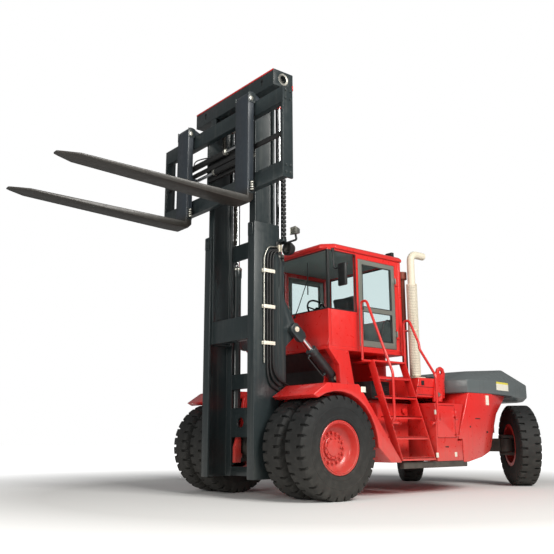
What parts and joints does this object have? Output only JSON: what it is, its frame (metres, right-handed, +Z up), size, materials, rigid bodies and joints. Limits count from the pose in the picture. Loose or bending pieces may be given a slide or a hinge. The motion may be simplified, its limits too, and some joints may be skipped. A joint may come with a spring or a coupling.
{
  "type": "heavy counterbalance forklift truck",
  "caption": "Heavy counterbalance forklift with twin front tyres, steered rear wheels, a cab on a red body and a raised two-stage mast with sliding forks.",
  "frame": {"origin": "on the ground, under the middle of the drive axle", "axes": "+X forward, towards the fork tips; +Y left; +Z up"},
  "size_m": [8.9501, 3.4022, 6],
  "materials": {
    "red_paint": "gloss enamel",
    "slate_paint": "semi-gloss enamel",
    "grey_cap": "satin enamel",
    "fork_steel": "matt black enamel",
    "chrome": "polished",
    "tyre": "moulded rubber",
    "rubber": "moulded rubber",
    "glass": "clear",
    "steel": "oiled",
    "guard": "perforated",
    "black_plastic": "moulded",
    "seat_cover": "vinyl",
    "cast_iron": "painted casting"
  },
  "bodies": {
    "chassis": {"main_frame": "red_paint", "fenders": "red_paint", "side_boxes": "red_paint", "stairs": "red_paint", "engine_block": "cast_iron", "engine_hood": "red_paint", "counterweight": "red_paint", "counterweight_cap": "grey_cap", "tow_hitch": "slate_paint", "lifting_lugs": "red_paint", "exhaust_stack": "guard", "intake_pipe": "slate_paint", "cab_floor": "red_paint", "cab_front": "red_paint", "cab_sides": "red_paint", "cab_rear": "red_paint", "cab_roof": "red_paint", "cab_glass": "glass", "seat": "seat_cover", "dash_and_wheel": "black_plastic", "drive_axle": "slate_paint", "steer_axle": "slate_paint", "lamps": "glass", "mirrors": "black_plastic"},
    "box_door": {"box_door": "red_paint"},
    "door_left": {"door_left": "red_paint", "door_glass_left": "glass"},
    "door_right": {"door_right": "red_paint", "door_glass_right": "glass"},
    "wheel_front_left": {"tyres_front_left": "tyre", "rims_front_left": "red_paint"},
    "wheel_front_right": {"tyres_front_right": "tyre", "rims_front_right": "red_paint"},
    "knuckle_left": {"knuckle_left": "slate_paint"},
    "knuckle_right": {"knuckle_right": "slate_paint"},
    "wheel_rear_left": {"tyre_rear_left": "tyre", "rim_rear_left": "red_paint"},
    "wheel_rear_right": {"tyre_rear_right": "tyre", "rim_rear_right": "red_paint"},
    "mast_outer": {"outer_columns": "slate_paint", "outer_ties": "slate_paint", "lift_barrels": "slate_paint", "mast_hoses": "rubber", "mast_lamps": "black_plastic"},
    "mast_inner": {"inner_columns": "slate_paint", "inner_ties": "slate_paint", "lift_rods": "chrome", "lift_chains": "steel"},
    "carriage": {"carriage_frame": "slate_paint", "positioner_barrels": "slate_paint"},
    "fork_left": {"fork_left": "fork_steel", "positioner_rod_left": "chrome"},
    "fork_right": {"fork_right": "fork_steel", "positioner_rod_right": "chrome"},
    "tilt_barrel_left": {"tilt_barrel_left": "slate_paint"},
    "tilt_barrel_right": {"tilt_barrel_right": "slate_paint"},
    "tilt_rod_left": {"tilt_rod_left": "chrome"},
    "tilt_rod_right": {"tilt_rod_right": "chrome"}
  },
  "joints": [
    {"name": "wheel_front_left_spin", "type": "hinge", "parent": "chassis", "child": "wheel_front_left", "pos_m": [0, 1.11, 0.67], "axis": [0, 1, 0], "continuous": true},
    {"name": "steer_left", "type": "hinge", "parent": "chassis", "child": "knuckle_left", "pos_m": [-4.5, 0.95, 0.67], "axis": [0, 0, 1], "range_deg": [-105, 5]},
    {"name": "wheel_rear_left_spin", "type": "hinge", "parent": "knuckle_left", "child": "wheel_rear_left", "pos_m": [-4.66853, 1.09141, 0.67], "axis": [-0.766, 0.6428, 0], "continuous": true},
    {"name": "wheel_front_right_spin", "type": "hinge", "parent": "chassis", "child": "wheel_front_right", "pos_m": [0, -1.11, 0.67], "axis": [0, 1, 0], "continuous": true},
    {"name": "steer_right", "type": "hinge", "parent": "chassis", "child": "knuckle_right", "pos_m": [-4.5, -0.95, 0.67], "axis": [0, 0, 1], "range_deg": [-105, 5]},
    {"name": "wheel_rear_right_spin", "type": "hinge", "parent": "knuckle_right", "child": "wheel_rear_right", "pos_m": [-4.33147, -1.09141, 0.67], "axis": [-0.766, 0.6428, 0], "continuous": true},
    {"name": "mast_tilt", "type": "hinge", "parent": "chassis", "child": "mast_outer", "pos_m": [0.22, 0, 0.55], "axis": [0, 1, 0], "range_deg": [-6, 6]},
    {"name": "tilt_barrel_left_swing", "type": "hinge", "parent": "chassis", "child": "tilt_barrel_left", "pos_m": [-0.7, 0.665, 1.65], "axis": [0, 1, 0], "range_deg": [-6.29, 6.29]},
    {"name": "tilt_rod_left_slide", "type": "slide", "parent": "tilt_barrel_left", "child": "tilt_rod_left", "axis": [0.7513, 0, 0.6599], "range_m": [-0.14989, 0.14989]},
    {"name": "tilt_barrel_right_swing", "type": "hinge", "parent": "chassis", "child": "tilt_barrel_right", "pos_m": [-0.7, -0.665, 1.65], "axis": [0, 1, 0], "range_deg": [-6.29, 6.29]},
    {"name": "tilt_rod_right_slide", "type": "slide", "parent": "tilt_barrel_right", "child": "tilt_rod_right", "axis": [0.7513, 0, 0.6599], "range_m": [-0.14989, 0.14989]},
    {"name": "mast_lift", "type": "slide", "parent": "mast_outer", "child": "mast_inner", "axis": [0, 0, 1], "range_m": [-1.945, 0.05], "deforming": ["lift_chains"]},
    {"name": "carriage_lift", "type": "slide", "parent": "mast_inner", "child": "carriage", "axis": [0, 0, 1], "range_m": [-1.946, 0.051]},
    {"name": "fork_left_shift", "type": "slide", "parent": "carriage", "child": "fork_left", "axis": [0, 1, 0], "range_m": [-0.4, 0.45]},
    {"name": "door_left_swing", "type": "hinge", "parent": "chassis", "child": "door_left", "pos_m": [-1.9, 0.866, 2.8], "axis": [0, 0, 1], "range_deg": [0, 95]},
    {"name": "fork_right_shift", "type": "slide", "parent": "carriage", "child": "fork_right", "axis": [0, -1, 0], "range_m": [-0.4, 0.45]},
    {"name": "door_right_swing", "type": "hinge", "parent": "chassis", "child": "door_right", "pos_m": [-1.9, -0.866, 2.8], "axis": [0, 0, -1], "range_deg": [0, 95]},
    {"name": "box_door_swing", "type": "hinge", "parent": "chassis", "child": "box_door", "pos_m": [-2.47, 1.466, 1], "axis": [0, 0, 1], "range_deg": [0, 110]}
  ],
  "couplings": [
    {"joint": "steer_right", "follows": "steer_left", "ratio": 1},
    {"joint": "tilt_barrel_left_swing", "follows": "mast_tilt", "ratio": 1.0479},
    {"joint": "tilt_rod_left_slide", "follows": "mast_tilt", "m_per_rad": 1.4306},
    {"joint": "tilt_barrel_right_swing", "follows": "mast_tilt", "ratio": 1.0479},
    {"joint": "tilt_rod_right_slide", "follows": "mast_tilt", "m_per_rad": 1.4306},
    {"joint": "carriage_lift", "follows": "mast_lift", "ratio": 1}
  ]
}
